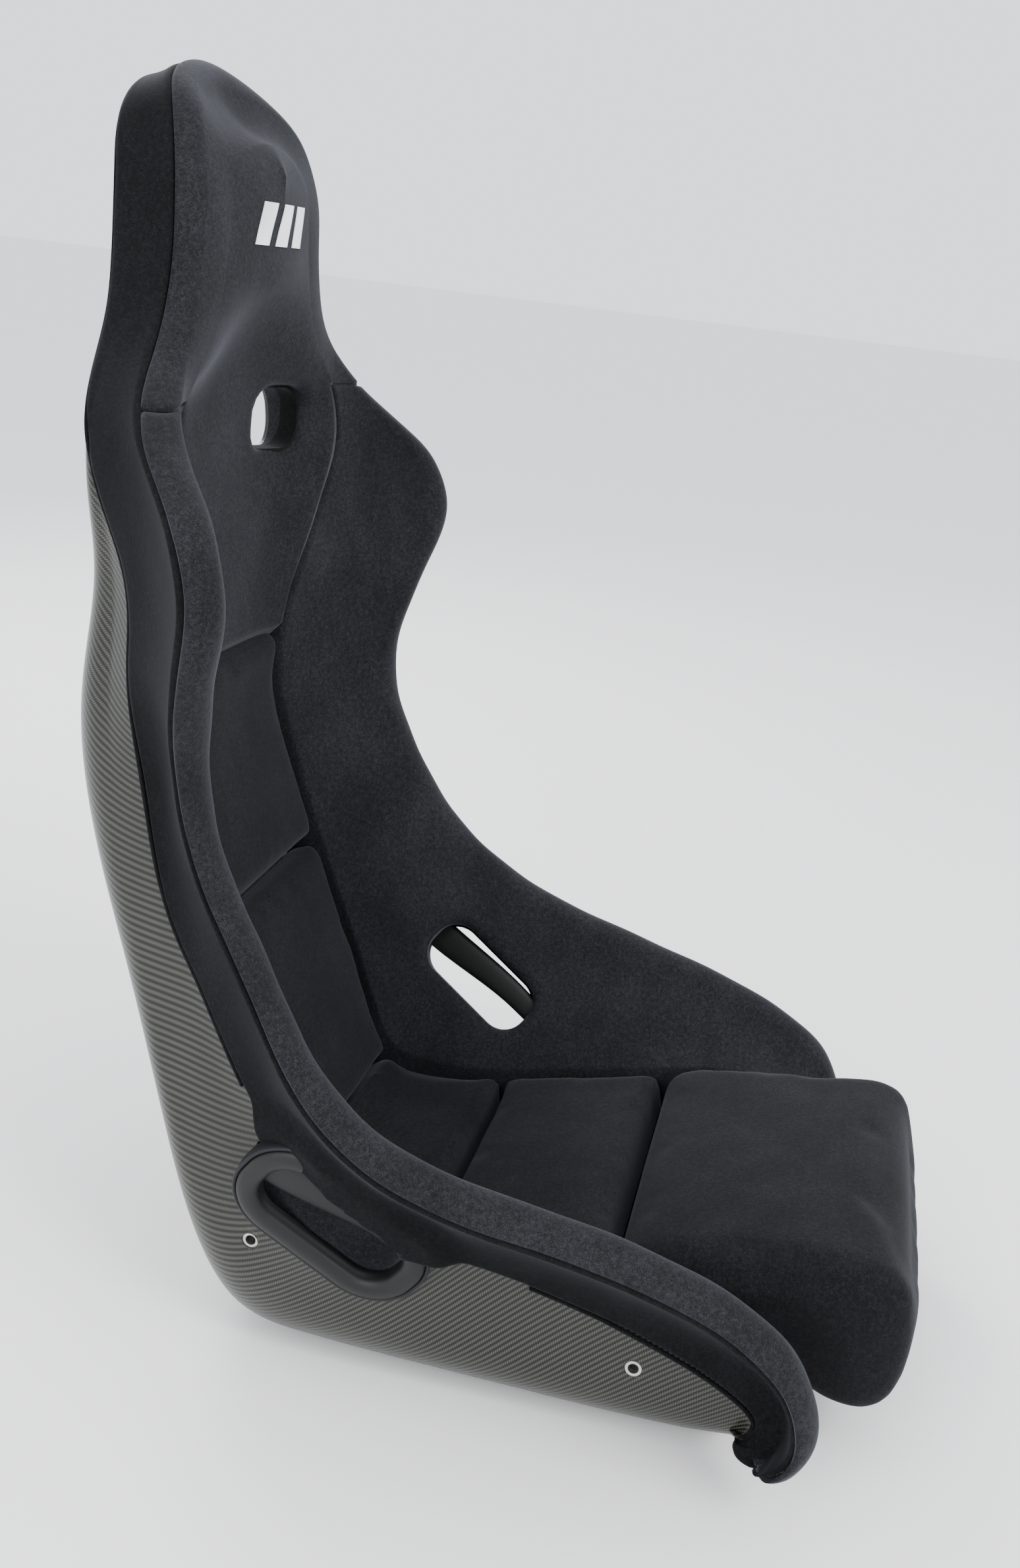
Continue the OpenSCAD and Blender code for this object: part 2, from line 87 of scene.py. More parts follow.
BASE = [[-430, 42], [-424, 33], [-410, 22], [-380, 10], [-330, 3], [-245, 0], [-160, 0],
        [-80, 0], [-4, 0], [46, 26], [86, 90], [114, 180], [143, 285], [169, 385], [181, 468],
        [168, 555], [171, 625], [179, 680], [185, 722], [189, 750], [192, 776], [194, 800],
        [196, 820], [197, 836], [197, 848]]
WALL = [[210, -383, 45], [206, -380, 51], [201, -376, 56], [201, -354, 60],
        [201, -314, 62], [201, -240, 62], [201, -164, 63], [201, -90, 66], [201, -18, 76],
        [201, 18, 100], [199, 48, 146], [197, 75, 218], [195, 101, 312],
        [193, 126, 402], [188, 139, 486], [186, 138, 568], [196, 149, 630],
        [184, 158, 676], [154, 164, 712], [132, 166, 748], [124, 168, 790], [121, 170, 834],
        [108, 178, 870], [66, 186, 896], [0, 190, 904]]
RIM = [[231, -408, 48], [235, -421, 80], [236, -406, 124], [236, -380, 152],
       [236, -328, 180], [243, -240, 204], [252, -160, 219], [252, -96, 241], [240, -48, 274],
       [226, -18, 308], [217, 8, 347], [215, 34, 392], [215, 48, 432], [224, 49, 478],
       [250, 38, 528], [268, 25, 584], [252, 46, 636], [208, 88, 676], [158, 108, 712],
       [122, 114, 748], [110, 116, 790], [107, 119, 834], [93, 130, 872], [58, 148, 893],
       [0, 158, 898]]
FOOT = [[208, -386, 46], [190, -397, 74], [177, -386, 106], [171, -366, 124],
        [168, -320, 134], [165, -240, 116], [162, -162, 98], [156, -88, 82], [146, -16, 84],
        [135, 8, 122], [133, 36, 194], [131, 72, 274], [127, 104, 360], [122, 128, 440],
        [130, 124, 506], [153, 112, 580], [174, 107, 636], [166, 108, 676], [128, 110, 711],
        [98, 112, 745], [84, 113, 786], [78, 114, 822], [64, 116, 847], [36, 119, 862],
        [0, 120, 868]]
EDGE = [[0.9], [0.95], [1.05], [1.15], [1.25], [1.36], [1.42], [1.44], [1.5], [1.55], [1.56],
        [1.52], [1.33], [1.3], [1.25], [1.2], [1.08], [0.95], [0.9], [0.9], [0.9], [0.9], [0.9],
        [0.9], [0.9]]
STEP = 0.02  # spacing of the samples, in stations
SOFT = 0.3  # width of the softening, in stations


def sampled(points, mirrored):
    """Catmull-Rom samples of a rail, softened along its length; column 0 may change sign."""
    p = np.array(points, float)
    n = len(p) - 1
    s = np.arange(0, n + STEP / 2, STEP)
    i = np.minimum(s.astype(int), n - 1)
    t = (s - i)[:, None]
    a, b, c, d = p[np.maximum(i - 1, 0)], p[i], p[i + 1], p[np.minimum(i + 2, n)]
    q = b + (c - a) * t / 2 + (2 * a - 5 * b + 4 * c - d) * t**2 / 2 + (3 * b - a - 3 * c + d) * t**3 / 2
    pad = int(3.2 * SOFT / STEP)
    k = np.exp(-0.5 * (np.arange(-pad, pad + 1) * STEP / SOFT) ** 2)
    k /= k.sum()
    left = 2 * q[0] - q[pad:0:-1]
    right = q[-2:-pad - 2:-1].copy()
    if mirrored:
        right[:, 0] *= -1
    full = np.vstack([left, q, right])
    return np.column_stack([np.convolve(full[:, j], k, "valid") for j in range(p.shape[1])])


RAILS = {"base": sampled(BASE, False), "wall": sampled(WALL, True), "rim": sampled(RIM, True),
         "foot": sampled(FOOT, True), "edge": sampled(EDGE, False)}
GRID = np.arange(len(RAILS["base"])) * STEP


def rail(name, s):
    table = RAILS[name]
    return np.array([np.interp(s, GRID, table[:, j]) for j in range(table.shape[1])])


def lerp(a, b, t):
    """From a at t = 0 to b at t = 1."""
    return a + (b - a) * t


def ramp(a, b, x):
    """Smooth step from 0 at a to 1 at b."""
    t = np.clip((x - a) / (b - a), 0, 1)
    return t * t * (3 - 2 * t)


def unit(v):
    return v / (np.linalg.norm(v, axis=-1, keepdims=True) + 1e-12)


def bezier(a, b, c, t):
    return lerp(lerp(a, b, t), lerp(b, c, t), t)


def swell(x, width):
    """Bell curve of height 1."""
    return np.exp(-((x / width) ** 2))


def base_pt(s):
    b = rail("base", s)
    return np.array([0, b[0], max(0, b[1])])


def up_dir(s):
    w, r = rail("wall", s), rail("rim", s)
    return unit(np.array([0, r[1] - w[1], r[2] - w[2]]))


def out_dir(s):
    r, b, k = rail("rim", s), base_pt(s), ramp(18, 20, s)
    return unit(np.array([lerp(1, r[0], k), 0, lerp(0, r[2] - b[2], k)]))


def roll(s):
    return ROLL_R * (1 if s > 0.6 else 0.72 + 0.28 * math.sqrt(1 - (1 - s / 0.6) ** 2))


def roll_mid(s):
    return rail("rim", s) - roll(s) * up_dir(s)


def shell_face(s, v):
    """Points of the outer face of the shell at station s, for an array of places v."""
    v = np.asarray(v, float)[:, None]
    b, w, up = base_pt(s), rail("wall", s), up_dir(s)
    q = roll_mid(s) + out_dir(s) * (roll(s) - BAND_T - CLEAR)
    high = w - up * np.linalg.norm([w[1] - b[1], w[2] - b[2]])
    corner = lerp(high, np.array([w[0], b[1], w[2]]), ramp(17, 19, s))
    start = lerp(b, corner, 0.5)
    lean = lerp(up * np.linalg.norm(q - w), q - w, 0.8 * ramp(12.5, 14.5, s))
    p = w + 0.36 * lean
    out = np.where(v <= 0.5, lerp(b, start, v / 0.5),
          np.where(v <= 1, bezier(start, corner, w, (v - 0.5) / 0.5),
          np.where(v <= 1.3, lerp(w, p, (v - 1) / 0.3),
                   bezier(p, lerp(p, w + lean, 0.5), q, (v - 1.3) / 0.7))))
    hollow = np.where(v > 1, 0, 14 * (1 - v**4)) * swell(s - 16.64, 0.8) * swell(out[:, :1] - SHOULDER[0], 50)
    bulge = 20 * swell(s - 7.25, 1.0) * swell(v - 1.42, 0.32)
    out[:, 0] += bulge[:, 0]
    out[:, 1] -= hollow[:, 0]
    out[:, 2] = np.maximum(0, out[:, 2])
    return out


def shell_normal(s, v):
    v = np.asarray(v, float)
    d, o = up_dir(s), out_dir(s)
    t = shell_face(s, np.minimum(v + 0.02, 2)) - shell_face(s, np.maximum(v - 0.02, 0))
    a, c = t @ o, t @ d
    return unit(o[None, :] * c[:, None] - d[None, :] * a[:, None])


def shell_offset(s, v, by):
    return shell_face(s, v) + shell_normal(s, v) * np.reshape(by, (-1, 1))


def pad_face(s, u):
    """Points of the padding's face: u to 0.4 on the roll, to 1 on the side, to 2 at the middle."""
    u = np.asarray(u, float)[:, None]
    r, d, o, q, f = roll(s), up_dir(s), out_dir(s), roll_mid(s), rail("foot", s)
    turn = math.radians(lerp(150, 78, ramp(16, 19, s)))
    last = q + r * (o * math.cos(turn) + d * math.sin(turn))
    leave = o * math.cos(turn + math.pi / 2) + d * math.sin(turn + math.pi / 2)
    reach = np.linalg.norm(last - f)
    centre = np.array([0, f[1], lerp(f[2], base_pt(s)[2], ramp(18, 20, s))])
    c = np.clip(2 - u, 0, 1)
    hollow = lerp(1 - c**4, (1 - c**2) ** 2, ramp(16.5, 18.5, s))
    dip = 40 * ramp(12.6, 16, s) * ramp(20, 17, s) * hollow - 7 * ramp(18.5, 20.5, s) * (1 - c**2)
    centre[1] = lerp(centre[1], 113, ramp(20, 22, s))
    a = turn * u / 0.4
    across = lerp(f, centre, u - 1)
    across[:, 1:2] += dip
    return np.where(u <= 0.4, q + r * (o * np.cos(a) + d * np.sin(a)),
           np.where(u <= 1, bezier(last, last + leave * reach * 0.5, f, (u - 0.4) / 0.6), across))


def place_at(s, x):
    """The place v on the shell that lies x from the centre plane."""
    w = rail("wall", s)[0]
    a = 0.5 * w
    x = np.asarray(x, float)
    return np.where(x <= a, 0.5 * x / max(a, 1),
                    1 - 0.5 * np.sqrt(np.maximum(0, (w - x) / max(w - a, 1e-6))))


def pad_back(s, u):
    """Points of the padding's back, on the inside of the shell."""
    u = np.asarray(u, float)
    x = rail("foot", s)[0]
    v = np.where(u <= 1, lerp(1.94, place_at(s, x), np.minimum(u, 1)),
                 place_at(s, x * (2 - np.maximum(u, 1))))
    v = lerp(v, 0.97 * (2 - u), ramp(18, 21, s))
    return shell_offset(s, v, -SHELL_T - CLEAR)


def pad_normal(s):
    t = rail("foot", s + 0.05) - rail("foot", s - 0.05)
    return unit(np.array([0, -t[2], t[1]]))


def to_scene(p):
    return (np.asarray(p, float) + np.array([0, MID_Y, 0])) * 0.001


# ---- meshes from grids ----
def mesh_object(name, verts, faces, mirror=False, smooth=True):
    verts = np.array(verts, float)
    if mirror:
        verts[:, 0] *= -1
        faces = [tuple(reversed(f)) for f in faces]
    mesh = bpy.data.meshes.new(name)
    mesh.from_pydata([tuple(v) for v in to_scene(verts)], [], [tuple(f) for f in faces])
    mesh.validate()
    if smooth:
        mesh.polygons.foreach_set("use_smooth", [True] * len(mesh.polygons))
    obj = bpy.data.objects.new(name, mesh)
    bpy.context.scene.collection.objects.link(obj)
    return obj


def faces_outward(obj):
    """Makes the faces of a closed mesh point outwards."""
    bm = bmesh.new()
    bm.from_mesh(obj.data)
    bmesh.ops.recalc_face_normals(bm, faces=bm.faces)
    bm.to_mesh(obj.data)
    bm.free()


def grid_solid(name, front, back, mask=None, fold=False, mirror=False, uv=None):
    """A closed solid between two grids. mask marks the cells that exist; fold closes the last row.
    uv holds one pair of lengths for each place on the grid."""
    rows, cols = front.shape[:2]
    mask = np.ones((rows - 1, cols - 1), bool) if mask is None else mask

    def top(i, j):
        return i * cols + (cols - 1 - j if fold and i == rows - 1 and 2 * j > cols - 1 else j)

    def low(i, j):
        return rows * cols + top(i, j)

    faces = []
    for i in range(rows - 1):
        for j in range(cols - 1):
            if not mask[i, j]:
                continue
            ring = [(i, j), (i, j + 1), (i + 1, j + 1), (i + 1, j)]
            faces.append([top(*p) for p in ring])
            faces.append([low(*p) for p in reversed(ring)])
            sides = [(i - 1, j), (i, j + 1), (i + 1, j), (i, j - 1)]
            for k, (a, b) in enumerate(sides):
                outside = not (0 <= a < rows - 1 and 0 <= b < cols - 1) or not mask[a, b]
                if not outside or (fold and a == rows - 1):
                    continue
                p, q = ring[k], ring[(k + 1) % 4]
                faces.append([top(*q), top(*p), low(*p), low(*q)])
    clean = []
    for f in faces:
        g = [x for n, x in enumerate(f) if x != f[n - 1]]
        if len(set(g)) == len(g) and len(g) > 2:
            clean.append(g)
    used = sorted({x for f in clean for x in f})
    index = {x: n for n, x in enumerate(used)}
    verts = np.vstack([front.reshape(-1, 3), back.reshape(-1, 3)])[used]
    obj = mesh_object(name, verts, [[index[x] for x in f] for f in clean], mirror)
    faces_outward(obj)
    if uv is not None:
        pairs = np.vstack([uv.reshape(-1, 2)] * 2)[used]
        corner = np.zeros(len(obj.data.loops), int)
        obj.data.loops.foreach_get("vertex_index", corner)
        obj.data.uv_layers.new(name="weave").data.foreach_set("uv", pairs[corner].ravel())
    return obj


def normals_of(p, towards):
    """Unit normals of a grid, on the side where towards points."""
    n = unit(np.cross(np.gradient(p, axis=1), np.gradient(p, axis=0)))
    flip = np.sign(np.sum(n * towards, axis=2, keepdims=True))
    return n * np.where(flip == 0, 1, flip)


def edge_gap(p, axis, start, end):
    """Distance from each grid point to the chosen ends along one axis."""
    q = np.moveaxis(p, axis, 0)
    steps = np.linalg.norm(np.diff(q, axis=0), axis=2)
    run = np.vstack([np.zeros((1, steps.shape[1])), np.cumsum(steps, axis=0)])
    far = np.full(run.shape, 1e6)
    gap = np.minimum(run if start else far, run[-1] - run if end else far)
    return np.moveaxis(gap, 0, axis)


def round_over(gap, r):
    """How far a surface sinks at a distance from its edge, for a rounding of radius r."""
    e = np.clip(gap / r, 0, 1)
    return r * (1 - np.sqrt(1 - (1 - e) ** 2))


def slot_gap(x, z, size):
    """Distance outside a rounded slot centred on 0, 0; negative inside."""
    l, h, r = size
    dx, dz = np.abs(x) - (l / 2 - r), np.abs(z) - (h / 2 - r)
    return np.hypot(np.maximum(dx, 0), np.maximum(dz, 0)) + np.minimum(np.maximum(dx, dz), 0) - r


def eased(a, b, n, k=0.0):
    """n + 1 values from a to b, denser near both ends as k goes to 1."""
    t = np.linspace(0, 1, n + 1)
    return a + (b - a) * lerp(t, 0.5 - 0.5 * np.cos(math.pi * t), k)


def stadium(size, grow, n):
    """Outline of a rounded slot, with n steps to each corner."""
    l, h, r = size[0] + 2 * grow, size[1] + 2 * grow, max(size[2] + grow, 0.5)
    out = []
    for cx, cz, a0 in ((1, 1, 0), (-1, 1, 90), (-1, -1, 180), (1, -1, 270)):
        for k in range(n + 1):
            a = math.radians(a0 + 90 * k / n)
            out.append((cx * (l / 2 - r) + r * math.cos(a), cz * (h / 2 - r) + r * math.sin(a)))
    return out


def slot_prism(size, grow, low, high, place, mirror=False):
    """A cutter: a rounded slot, grown by a margin, from low to high in the frame of a place."""
    ring = stadium(size, grow, 12)
    n = len(ring)
    verts = [place @ Vector((x, y, z)) for z in (low, high) for x, y in ring]
    faces = [list(range(n - 1, -1, -1)), list(range(n, 2 * n))]
    faces += [[k, (k + 1) % n, n + (k + 1) % n, n + k] for k in range(n)]
    return mesh_object("cutter", np.array([tuple(v) for v in verts]), faces, mirror, smooth=False)


def rod(x, y, z, r, length):
    """A round cutter along X, to both sides of a point."""
    place = Matrix.Translation((x, y, z)) @ Matrix.Rotation(math.pi / 2, 4, "Y")
    return slot_prism((2 * r, 2 * r, r * 0.9999), 0, -length, length, place)


def cut(obj, cutters):
    """Takes the cutters out of an object and removes them."""
    for c in cutters:
        m = obj.modifiers.new("cut", "BOOLEAN")
        m.operation, m.object, m.solver = "DIFFERENCE", c, "MANIFOLD"
        bake(obj)
    for c in cutters:
        bpy.data.objects.remove(c)


def bake(obj):
    """Applies every modifier of an object to its mesh."""
    bpy.context.view_layer.update()
    graph = bpy.context.evaluated_depsgraph_get()
    mesh = bpy.data.meshes.new_from_object(obj.evaluated_get(graph))
    old = obj.data
    obj.modifiers.clear()
    obj.data = mesh
    mesh.name = obj.name
    bpy.data.meshes.remove(old)


def lap_place():
    """Frame of the left belt guide: X along its slot, Z outwards."""
    return (Matrix.Translation(LAP_MID) @ Matrix.Rotation(math.radians(LAP_LEAN), 4, "Y")
            @ Matrix.Rotation(math.pi / 2, 4, "Y") @ Matrix.Rotation(math.radians(LAP_SLOPE - 90), 4, "Z"))


def shoulder_place(side):
    """Frame of a shoulder-belt hole: X across, Z to the rear."""
    return (Matrix.Translation((side * SHOULDER[0], SHOULDER[1], SHOULDER[2]))
            @ Matrix.Rotation(math.radians(-side * SHOULDER_TURN), 4, "Z")
            @ Matrix.Rotation(math.radians(-90), 4, "X"))


def local_of(place, p):
    """Coordinates of grid points in the frame of a place."""
    m = np.array(place.inverted())
    return p @ m[:3, :3].T + m[:3, 3]


# ---- materials ----
def new_material(name):
    m = bpy.data.materials.new(name)
    m.use_nodes = True
    nodes = m.node_tree.nodes
    nodes.clear()
    out = nodes.new("ShaderNodeOutputMaterial")
    bsdf = nodes.new("ShaderNodeBsdfPrincipled")
    m.node_tree.links.new(bsdf.outputs["BSDF"], out.inputs["Surface"])
    return m, nodes, m.node_tree.links, bsdf


def math_node(nodes, links, op, a, b=None):
    n = nodes.new("ShaderNodeMath")
    n.operation = op
    for k, value in enumerate((a, b)):
        if value is None:
            continue
        if isinstance(value, (int, float)):
            n.inputs[k].default_value = value
        else:
            links.new(value, n.inputs[k])
    return n.outputs[0]


def noise(nodes, links, coord, scale, detail=2.0, rough=0.5, stretch=None):
    if stretch is not None:
        mapping = nodes.new("ShaderNodeMapping")
        mapping.inputs["Scale"].default_value = stretch
        links.new(coord, mapping.inputs["Vector"])
        coord = mapping.outputs["Vector"]
    n = nodes.new("ShaderNodeTexNoise")
    n.inputs["Scale"].default_value = scale
    n.inputs["Detail"].default_value = detail
    n.inputs["Roughness"].default_value = rough
    links.new(coord, n.inputs["Vector"])
    return n.outputs["Fac"]


def colour_ramp(nodes, links, fac, stops):
    r = nodes.new("ShaderNodeValToRGB")
    r.color_ramp.elements[0].position, r.color_ramp.elements[0].color = stops[0][0], (*stops[0][1], 1)
    r.color_ramp.elements[1].position, r.color_ramp.elements[1].color = stops[-1][0], (*stops[-1][1], 1)
    for pos, col in stops[1:-1]:
        e = r.color_ramp.elements.new(pos)
        e.color = (*col, 1)
    links.new(fac, r.inputs["Fac"])
    return r.outputs["Color"]


def bump(nodes, links, bsdf, height, strength, distance):
    b = nodes.new("ShaderNodeBump")
    b.inputs["Strength"].default_value = strength
    b.inputs["Distance"].default_value = distance
    links.new(height, b.inputs["Height"])
    links.new(b.outputs["Normal"], bsdf.inputs["Normal"])


def velour(name, tone, sheen):
    """Short-pile velour: speckled nap, cloudy brushing and a cool edge sheen."""
    m, nodes, links, bsdf = new_material(name)
    coord = nodes.new("ShaderNodeTexCoord").outputs["Object"]
    speck = noise(nodes, links, coord, 1100, 2, 0.75)
    tuft = noise(nodes, links, coord, 320, 3, 0.6)
    cloud = noise(nodes, links, coord, 17, 4, 0.6, (1, 1, 0.6))
    mix = math_node(nodes, links, "MULTIPLY", speck, 0.5)
    mix = math_node(nodes, links, "ADD", mix, math_node(nodes, links, "MULTIPLY", tuft, 0.28))
    mix = math_node(nodes, links, "ADD", mix, math_node(nodes, links, "MULTIPLY", cloud, 0.22))
    t = np.array(tone)
    col = colour_ramp(nodes, links, mix, [(0.39, t * 0.45), (0.5, t), (0.61, t * 2.1 + 0.001)])
    links.new(col, bsdf.inputs["Base Color"])
    bsdf.inputs["Roughness"].default_value = 0.92
    bsdf.inputs["Specular IOR Level"].default_value = 0.1
    bsdf.inputs["Sheen Weight"].default_value = sheen
    bsdf.inputs["Sheen Roughness"].default_value = 0.38
    bsdf.inputs["Sheen Tint"].default_value = (0.72, 0.75, 0.85, 1)
    height = math_node(nodes, links, "ADD", speck, math_node(nodes, links, "MULTIPLY", tuft, 0.8))
    bump(nodes, links, bsdf, height, 0.45, 0.0006)
    return m


def carbon(name):
    """2 x 2 twill laminate under clear coat. UV is arc length in metres over the shell."""
    m, nodes, links, bsdf = new_material(name)
    uv = nodes.new("ShaderNodeTexCoord").outputs["UV"]
    sep = nodes.new("ShaderNodeSeparateXYZ")
    links.new(uv, sep.inputs[0])
    tow = 0.00135  # width of one tow, in metres
    a = math_node(nodes, links, "DIVIDE", sep.outputs["X"], tow)
    b = math_node(nodes, links, "DIVIDE", sep.outputs["Y"], tow)
    fa, fb = math_node(nodes, links, "FLOOR", a), math_node(nodes, links, "FLOOR", b)
    four = math_node(nodes, links, "FLOORED_MODULO", math_node(nodes, links, "SUBTRACT", fa, fb), 4)
    warp = math_node(nodes, links, "LESS_THAN", four, 1.5)
    ra = math_node(nodes, links, "FRACT", a)
    rb = math_node(nodes, links, "FRACT", b)
    ha = math_node(nodes, links, "SINE", math_node(nodes, links, "MULTIPLY", ra, math.pi))
    hb = math_node(nodes, links, "SINE", math_node(nodes, links, "MULTIPLY", rb, math.pi))
    weft = math_node(nodes, links, "SUBTRACT", 1.0, warp)
    # across is 1 at each tow's crown and 0 at its edges; in the colour below it is painted shade of the tow's
    # rounding, and it also drives the bump.
    across = math_node(nodes, links, "ADD", math_node(nodes, links, "MULTIPLY", warp, ha),
                       math_node(nodes, links, "MULTIPLY", weft, hb))
    fibre = noise(nodes, links, uv, 2600, 2, 0.6)
    # The warp tows are lighter than the weft in the base colour: a painted highlight standing in for the
    # tows' direction-dependent sheen, while the twill layout itself is the laminate's real pattern; fibre and
    # cloud add its own grain and uneven tone.
    light = math_node(nodes, links, "MULTIPLY", warp, 0.52)
    light = math_node(nodes, links, "ADD", light, math_node(nodes, links, "MULTIPLY", across, 0.34))
    light = math_node(nodes, links, "ADD", light, math_node(nodes, links, "MULTIPLY", fibre, 0.16))
    cloud = noise(nodes, links, uv, 9, 3, 0.55)
    light = math_node(nodes, links, "ADD", light, math_node(nodes, links, "MULTIPLY", cloud, 0.12))
    col = colour_ramp(nodes, links, light, [(0.2, (0.0015, 0.0016, 0.0013)), (0.6, (0.009, 0.0094, 0.0076)),
                                            (1.0, (0.052, 0.053, 0.043))])
    links.new(col, bsdf.inputs["Base Color"])
    bsdf.inputs["Specular IOR Level"].default_value = 0.15
    bsdf.inputs["Roughness"].default_value = 0.42
    bsdf.inputs["Coat Weight"].default_value = 0.3
    bsdf.inputs["Coat Roughness"].default_value = 0.12
    bsdf.inputs["Coat IOR"].default_value = 1.5
    bump(nodes, links, bsdf, across, 0.25, 0.0002)
    return m


def satin(name, tone, rough, grain, height=0.0003, metal=0.0):
    """Moulded or metal surface with fine grain and slightly uneven gloss."""
    m, nodes, links, bsdf = new_material(name)
    coord = nodes.new("ShaderNodeTexCoord").outputs["Object"]
    fine = noise(nodes, links, coord, grain, 3, 0.6)
    broad = noise(nodes, links, coord, 22, 3, 0.5)
    t = np.array(tone)
    links.new(colour_ramp(nodes, links, broad, [(0.3, t * 0.85), (0.7, t * 1.2)]), bsdf.inputs["Base Color"])
    mix = math_node(nodes, links, "MULTIPLY_ADD", broad, 0.16)
    mix.node.inputs[2].default_value = rough - 0.08
    links.new(mix, bsdf.inputs["Roughness"])
    bsdf.inputs["Metallic"].default_value = metal
    bsdf.inputs["Specular IOR Level"].default_value = 0.28
    bump(nodes, links, bsdf, fine, 0.3, height)
    return m


MAT = {
    "carbon_laminate": carbon("carbon_twill"),
    "zinc_steel": satin("zinc_steel", (0.42, 0.41, 0.38), 0.4, 600, 0.0001, metal=1.0),
    "plate_steel": satin("plate_steel", (0.4, 0.4, 0.41), 0.5, 500, 0.0001, metal=1.0),
    "moulded_trim": satin("moulded_trim", (0.0035, 0.0037, 0.0037), 0.52, 900),
    "gasket_rubber": satin("gasket_rubber", (0.004, 0.004, 0.006), 0.6, 900),
    "bridge_trim": satin("bridge_trim", (0.0055, 0.0058, 0.0058), 0.52, 900),
    "sleeve_trim": velour("sleeve_trim", (0.004, 0.004, 0.004), 0.05),
    # velour, band_velour and cushion_velour are lit and shaded copies of one fabric: velour is raised as
    # painted light on the head and bolsters, band_velour is lowered as painted shade on the lower sides, and
    # cushion_velour is set between them for the light on the cushions.
    "velour": velour("velour", (0.0100, 0.0104, 0.0120), 0.12),
    "band_velour": velour("band_velour", (0.0034, 0.0036, 0.0041), 0.045),
    "welt_cord": velour("welt_cord", (0.004, 0.004, 0.005), 0.05),
    "cushion_velour": velour("cushion_velour", (0.0056, 0.0058, 0.0066), 0.075),
    "foam": satin("foam", (0.10, 0.10, 0.10), 0.9, 700),
    "hook_tape": velour("hook_tape", (0.004, 0.004, 0.004), 0.05),
}
for part in frame["record"]["subparts"]:
    obj = frame["nodes"][part["node"]]
    obj.data.materials.clear()
    obj.data.materials.append(MAT[part["material_slot"]])


def finish_piece(obj, slot, *nodes):
    """Gives a piece its material, hangs it on the root body and hides the CAD nodes it stands in for."""
    obj.data.materials.clear()
    obj.data.materials.append(MAT[slot])
    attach(obj, "root")
    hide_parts(*nodes)


# ---- camera ----
def make_camera():
    data = bpy.data.cameras.new("view")
    data.sensor_width = 36
    data.lens = 37.07
    data.shift_x = 0.005
    data.shift_y = -0.0208
    data.clip_start, data.clip_end = 0.05, 50
    cam = bpy.data.objects.new("view", data)
    a, e, r = math.radians(-78.9), math.radians(16.7), math.radians(6.8)
    right = Vector((math.cos(a), math.sin(a), 0))
    back = Vector((math.sin(a) * math.cos(e), -math.cos(a) * math.cos(e), math.sin(e)))
    up = back.cross(right)
    x = math.cos(r) * right + math.sin(r) * up
    y = -math.sin(r) * right + math.cos(r) * up
    m = Matrix((x, y, back)).transposed().to_4x4()
    m.translation = (-1.1786, -0.3350 + 0.001 * MID_Y, 0.8038)
    cam.matrix_world = m
    bpy.context.scene.collection.objects.link(cam)
    bpy.context.scene.camera = cam


make_camera()


# ---- shell ----
def make_shell():
    rows = np.concatenate([eased(0, 4, 60), eased(4, 20, 230)[1:], eased(20, TOP, 70)[1:]])
    half_v = np.concatenate([np.linspace(0, 0.5, 10), np.linspace(0.5, 1, 17)[1:],
                             np.linspace(1, 1.97, 26)[1:]])
    v = np.concatenate([-half_v[:0:-1], half_v])
    sign = np.where(v < 0, -1.0, 1.0)[:, None] * np.array([1, 0, 0]) + np.array([0, 1, 1])
    front = np.array([shell_face(s, np.abs(v)) * sign for s in rows])
    back = np.array([shell_offset(s, np.abs(v), -SHELL_T) * sign for s in rows])
    lip = round_over(edge_gap(front, 1, True, True), 1.2)[..., None]
    nrm = np.array([shell_normal(s, np.abs(v)) * sign for s in rows])
    front = front - nrm * lip
    along = np.linalg.norm(np.diff(front[:, len(v) // 2 + 26], axis=0), axis=1)
    along = np.concatenate([[0], np.cumsum(along)])[:, None] + np.zeros(len(v))
    width = np.cumsum(np.pad(np.linalg.norm(np.diff(front, axis=1), axis=2), ((0, 0), (1, 0))), axis=1)
    width -= width[:, len(v) // 2][:, None]
    weave = np.stack([along, width], axis=2) * 0.001
    obj = grid_solid("shell_skin", front, back, fold=True, uv=weave)
    cutters = []
    for side in (1, -1):
        cutters.append(slot_prism(LAP_SLOT, LAP_FRAME_W - 1.5, -40, 40, lap_place(), side < 0))
        cutters.append(slot_prism(SHOULDER_SLOT, SHOULDER_CUT, 0, 90, shoulder_place(side)))
        for y, z in HOLES:
            cutters.append(rod(side * HALF, y, z, HOLE_R, 12))
    cutters.append(slot_prism(CROTCH_SLOT, SHOULDER_CUT, -10, 40, Matrix.Translation((0, CROTCH_Y, 0))))
    cut(obj, cutters)
    finish_piece(obj, "carbon_laminate", "shell")


make_shell()


# ---- padded sides ----
NOSE_DEPTH = 13.0
NOSE_ROWS = 9


def with_nose(grid, extra):
    """Adds rows before the first one that close over the end of the wing as a dome."""
    centre = 0.5 * (roll_mid(0) + rail("wall", 0))
    away = unit(rail("rim", 0) - rail("rim", 1.2) + np.array([0, 12, 0]))
    rows = []
    for k in range(NOSE_ROWS, 0, -1):
        a = math.radians(84 * k / NOSE_ROWS)
        rows.append(centre + (grid[0] - centre) * math.cos(a) + away * math.sin(a) * (NOSE_DEPTH + extra))
    return np.vstack([np.array(rows), grid])


def wander(p, size, period):
    """Small even waves, so that stretched fabric is not perfectly smooth."""
    q = p / period
    return size * (np.sin(q[..., 0] * 2.1 + q[..., 2] * 1.3) * np.sin(q[..., 1] * 1.7 - q[..., 2] * 0.9)
                   + 0.5 * np.sin(q[..., 2] * 3.3 + q[..., 1] * 2.2))


